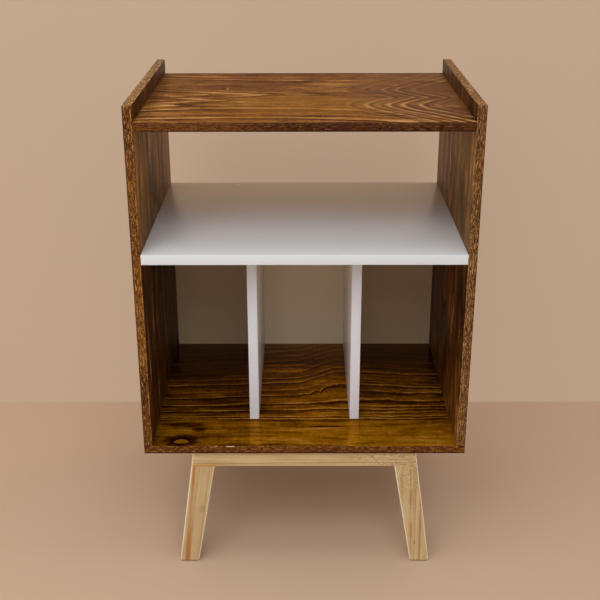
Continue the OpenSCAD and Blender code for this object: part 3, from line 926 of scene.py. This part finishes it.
def board(name, node, arris, along, materials, choose, chip=0.0, seed=0.0):
    """The CAD board as a box with rounded edges, worn where a chip says how deep."""
    low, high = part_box(node)
    work = bmesh.new()
    bmesh.ops.create_cube(work, size=1.0, matrix=Matrix.LocRotScale((low + high) / 2, None, high - low))
    bmesh.ops.bevel(work, geom=work.edges[:], offset=arris, segments=3, profile=0.5, affect="EDGES")
    if chip:
        wear(work, low, high, arris, along, chip, seed)
    finish_piece(name, work, materials, choose, [node])


def only(face):
    """For a piece of one material."""
    return 0


def copied(name, node, materials, choose=only):
    """A CAD node's own mesh, joined up and smoothly shaded."""
    work = bmesh.new()
    work.from_mesh(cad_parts[node].data)
    bmesh.ops.remove_doubles(work, verts=work.verts[:], dist=1e-6)
    finish_piece(name, work, materials, choose, [node])


def pine_piece(node, turn, origin, seed, **looks):
    copied("pine_" + node, node, [pine("pine_" + node, turn, origin, seed, **looks)])


def pine_leg(node, side, y, lean, seed, **looks):
    pine_piece(node, leg_turn(lean), (side * LEG_MID_X, y, LEG_MID_Z), seed, **looks)


def pine_rail(node, turn, x, y, seed, **looks):
    pine_piece(node, turn, (x, y, RAIL_MID_Z), seed, **looks)


def horizontal_board(face):
    """Upper face, lower face, front or rear edge, end."""
    if face.normal.z > LEVEL:
        return 0
    if face.normal.z < -LEVEL:
        return 1
    return 2 if abs(face.normal.y) > abs(face.normal.x) else 3


def side_board(face):
    """Faces, upright edges, top and bottom edges."""
    if abs(face.normal.x) > LEVEL:
        return 0
    return 1 if abs(face.normal.y) > abs(face.normal.z) else 2


def white_faces(face):
    """Raw chipboard shows only at a white board's rear edge."""
    return 1 if face.normal.y > LEVEL else 0


def back_faces(face):
    """White in front, brown behind and at the edges."""
    return 0 if face.normal.y < -0.5 else 1


def stained_board(name, node, along, materials, choose, seed):
    board(name, node, ARRIS, along, materials, choose, CHIP, seed)


def white_faced(name, node, along, face_material):
    board(name, node, WHITE_ARRIS, along, [face_material, raw_edge], white_faces)


stained_board("top_board", "top_panel", X, [top_face, under_face, top_edge, bottom_end],
              horizontal_board, 1.0)
stained_board("bottom_board", "bottom_panel", X, [bottom_face, under_face, bottom_edge, bottom_end],
              horizontal_board, 2.0)
stained_board("side_board_left", "side_panel_left", Z, [left_face, left_edge, left_top_edge],
              side_board, 3.0)
stained_board("side_board_right", "side_panel_right", Z, [right_face, right_edge, right_top_edge],
              side_board, 4.0)

white_faced("white_shelf", "middle_shelf", X, shelf_melamine)
for divider in ("divider_left", "divider_right"):
    white_faced("white_" + divider, divider, Z, melamine)
for strip in ("shelf_edge_band", "divider_left_edge_band", "divider_right_edge_band"):
    board("white_" + strip, strip, BAND_ARRIS, X, [band], only)
copied("hardboard_back", "back_panel", [back_white, back_brown], back_faces)

pine_leg("leg_front_left", -1, RAIL_MID_Y, LEAN, 3.0,
         marks=((left_leg_resin, RESIN), (left_leg_rose, ROSE), (left_leg_olive, BARK)))
pine_leg("leg_front_right", 1, RAIL_MID_Y, 0.0, 7.0, flecks=0.8, spacing=0.0045,
         marks=((right_leg_smudge, RESIN), (right_leg_bark, BARK)))
pine_leg("leg_rear_left", -1, -RAIL_MID_Y, LEAN, 12.0)
pine_leg("leg_rear_right", 1, -RAIL_MID_Y, -LEAN, 17.0, flecks=0.5)
pine_rail("front_rail", RAIL_TURN, 0.0, RAIL_MID_Y, 21.0, flecks=0.4,
          marks=((rail_resin, GOLD), (rail_bark, BARK)))
pine_rail("rear_rail", RAIL_TURN, 0.0, -RAIL_MID_Y, 26.0)
pine_rail("side_rail_left", SIDE_RAIL_TURN, -SIDE_RAIL_X, 0.0, 31.0)
pine_rail("side_rail_right", SIDE_RAIL_TURN, SIDE_RAIL_X, 0.0, 36.0, flecks=0.5)

for part in ("bottom_dowels", "top_dowels", "shelf_dowels", "divider_dowels", "leg_dowels",
             "side_rail_dowels"):
    copied("beech_" + part, part, [dowel_wood])
for part in ("back_panel_screws", "base_screws"):
    copied("zinc_" + part, part, [screw_metal])
copied("felt_feet", "felt_pads", [pad_felt])


# ---- Camera ----

FOCAL_PX = 1035.61
FRAME_PX = 600
SENSOR = 36.0               # millimetres
CAMERA_PLACE = (-0.00471, -1.91621, 1.25520)
CAMERA_YAW = 0.1074         # degrees
CAMERA_DOWN = 22.37
CAMERA_ROLL = -0.0968


def turned(degrees, axis):
    return Matrix.Rotation(math.radians(degrees), 4, axis)


camera = bpy.data.cameras.new("camera")
camera.sensor_width = SENSOR
camera.lens = SENSOR * FOCAL_PX / FRAME_PX
camera_object = bpy.data.objects.new("camera", camera)
bpy.context.scene.collection.objects.link(camera_object)
aim = turned(CAMERA_YAW, "Z") @ turned(90 - CAMERA_DOWN, "X") @ turned(CAMERA_ROLL, "Z")
camera_object.matrix_world = Matrix.Translation(CAMERA_PLACE) @ aim
bpy.context.scene.camera = camera_object


# ---- Floor, wall and light ----

WALL_Y = 0.445
WALL_HEIGHT = 5.0
STAGE_HALF = 7.0
STAGE_FADE = (1.7, 2.9)     # distances from the part over which the stage turns into the backdrop
BACKDROP = linear(196, 170, 145)
FLOOR_PAINT = linear(208, 178, 151)
WALL_PAINT = linear(128, 112, 96)
WALL_LIT = linear(194, 166, 140)
WALL_GLOW = 0.66
GRIME = linear(120, 96, 76)
BLACK = linear(0, 0, 0)
BEHIND_WALL_SHADE = (0.87, 0.80, 0.77, 1.0)    # painted shade: what is left of the floor's colour just behind the wall, near the part
BEHIND_WALL_SHADE_DEPTH = 0.5
BEHIND_WALL_SHADE_HALF = (0.26, 0.10)          # from the middle, where that ends and where it is whole


def stage_plane(name, corners, material):
    mesh = bpy.data.meshes.new(name)
    mesh.from_pydata(corners, [], [(0, 1, 2, 3)])
    mesh.materials.append(material)
    plane = bpy.data.objects.new(name, mesh)
    bpy.context.scene.collection.objects.link(plane)
    return plane


def plaster(name, colour, glow=0.0, lit=None):
    """A plain matt surface that the camera looks through from behind, with painted shade on the floor just
    behind the wall.

    Far from the part it turns into the backdrop. lit is the colour that it glows in, where that differs."""
    g = new_material(name)
    x, y, z = g.position()
    cloud = g.noise(x * 2.0, y * 2.0, z * 2.0)
    shade = g.mix(g.clamp(cloud * 0.25 + 0.5), colour, g.mix(0.10, colour, GRIME))
    # painted shade on the floor just behind the wall, near the part
    beyond = (g.step(y, WALL_Y, WALL_Y + 0.001) * g.step(y, WALL_Y + BEHIND_WALL_SHADE_DEPTH, WALL_Y)
              * g.step(g.absolute(x), *BEHIND_WALL_SHADE_HALF))
    shade = g.mix(beyond, shade, g.tint(shade, BEHIND_WALL_SHADE))
    grit = g.noise(x * 300.0, y * 300.0, z * 300.0, detail=2)
    seen = g.output("LightPath", "Is Camera Ray")
    away = g.step(g.hypotenuse(x, y), *STAGE_FADE) * seen
    paint = g.principled(base_color=g.mix(away, shade, BLACK), roughness=0.85,
                         normal=g.bump(grit * 0.3 + 0.5, 0.0002), specular_ior_level=0.1,
                         emission_color=g.mix(away, lit or colour, BACKDROP),
                         emission_strength=g.mix_number(away, glow, 1.0))
    behind = g.output("NewGeometry", "Backfacing") * seen
    return g.end(g.output("MixShader", 0, {0: behind, 1: paint, 2: g.output("BsdfTransparent")}))


def softbox(name, at, target, size, power, colour):
    lamp = bpy.data.lights.new(name, "AREA")
    lamp.shape = "RECTANGLE"
    lamp.size, lamp.size_y = size
    lamp.energy = power
    lamp.color = colour
    lit = bpy.data.objects.new(name, lamp)
    bpy.context.scene.collection.objects.link(lit)
    away = Vector(at) - Vector(target)
    lit.matrix_world = Matrix.Translation(at) @ away.to_track_quat("Z", "Y").to_matrix().to_4x4()


def studio():
    """A white sky, brighter overhead; the camera and mirrored rays see the plain backdrop instead."""
    g = Graph(bpy.data.worlds.new("studio"))
    height = g.parts(g.output("TexCoord", "Generated"))[Z]
    strength = g.output("MapRange", 0, {"Value": height, "From Min": 0.10, "From Max": 0.75,
                                        "To Min": 0.28, "To Max": 0.62})
    sky = g.output("Background", 0, {"Color": linear(246, 250, 255), "Strength": strength})
    backdrop = g.output("Background", 0, {"Color": BACKDROP})
    plain = g.math("MAXIMUM", g.output("LightPath", "Is Camera Ray"), g.output("LightPath", "Is Glossy Ray"))
    return g.end(g.output("MixShader", 0, {0: plain, 1: sky, 2: backdrop}))


half = STAGE_HALF
stage_plane("floor", [(-half, -half, 0), (half, -half, 0), (half, half, 0), (-half, half, 0)],
            plaster("floor_matt", FLOOR_PAINT))
wall = stage_plane("wall", [(-half, WALL_Y, 0), (half, WALL_Y, 0), (half, WALL_Y, WALL_HEIGHT),
                            (-half, WALL_Y, WALL_HEIGHT)],
                   plaster("wall_matt", WALL_PAINT, WALL_GLOW, WALL_LIT))
wall.visible_shadow = False

MIDDLE = (0.0, 0.0, 0.5)    # of the stand
WARM = (1.0, 0.98, 0.96)
softbox("key", at=(-0.35, -2.0, 2.3), target=MIDDLE, size=(2.6, 1.4), power=32.0, colour=(0.95, 0.98, 1.0))
softbox("front", at=(-0.4, -3.6, 0.9), target=MIDDLE, size=(3.2, 1.4), power=11.0, colour=WARM)
softbox("left", at=(-2.5, -1.1, 0.9), target=(0.0, -0.1, 0.35), size=(1.4, 1.2), power=6.5, colour=WARM)
softbox("overhead", at=(0.1, -0.3, 3.0), target=(0.0, 0.1, 0.3), size=(3.0, 1.6), power=18.0,
        colour=(0.96, 0.98, 1.0))
bpy.context.scene.world = studio()

bpy.context.scene.view_settings.view_transform = "Standard"
